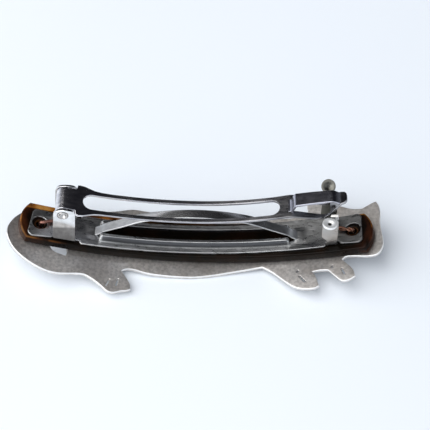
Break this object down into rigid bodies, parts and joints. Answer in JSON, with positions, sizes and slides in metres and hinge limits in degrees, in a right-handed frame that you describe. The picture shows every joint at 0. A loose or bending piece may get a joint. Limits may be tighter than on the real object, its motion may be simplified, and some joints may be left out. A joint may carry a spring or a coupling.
{
  "type": "barrette",
  "caption": "Hair barrette: arched steel spring clip with hinged slotted arm and disc-winged latch, on a dark acetate bar backed by a cat silhouette in silver.",
  "frame": {"origin": "middle of the flat the barrette rests on, on the silver's decorative face, straight under the middle of the clip", "axes": "+X along the barrette from the hinge to the latch, +Y towards the cat's ears, +Z from the decorative face up through the clip"},
  "size_m": [0.0897, 0.029, 0.0217],
  "materials": {
    "silver": "worn satin silver",
    "acetate": "polished tortoiseshell",
    "clip_steel": "bright nickel plate",
    "spring_steel": "bright",
    "copper": "tarnished copper wire"
  },
  "bodies": {
    "clip": {"silver_cat_plate": "silver", "tortoiseshell_bar": "acetate", "clip_base": "clip_steel", "tension_leaf": "spring_steel", "hinge_pin": "spring_steel", "left_fastening_wire": "copper", "right_fastening_wire": "copper"},
    "arm": {"clasp_arm": "clip_steel"},
    "wing_front": {"latch_wing_front": "clip_steel"},
    "wing_rear": {"latch_wing_rear": "clip_steel"}
  },
  "joints": [
    {"name": "arm_hinge", "type": "hinge", "parent": "clip", "child": "arm", "pos_m": [-0.0312, 0, 0.01709], "axis": [0, -1, 0], "range_deg": [0, 100]},
    {"name": "wing_front_spread", "type": "hinge", "parent": "clip", "child": "wing_front", "pos_m": [0.031, -0.0033, 0.00719], "axis": [1, 0, 0], "range_deg": [0, 6], "stiffness_Nm_per_rad": 0.05},
    {"name": "wing_rear_spread", "type": "hinge", "parent": "clip", "child": "wing_rear", "pos_m": [0.031, 0.0033, 0.00719], "axis": [-1, 0, 0], "range_deg": [0, 6], "stiffness_Nm_per_rad": 0.05}
  ]
}
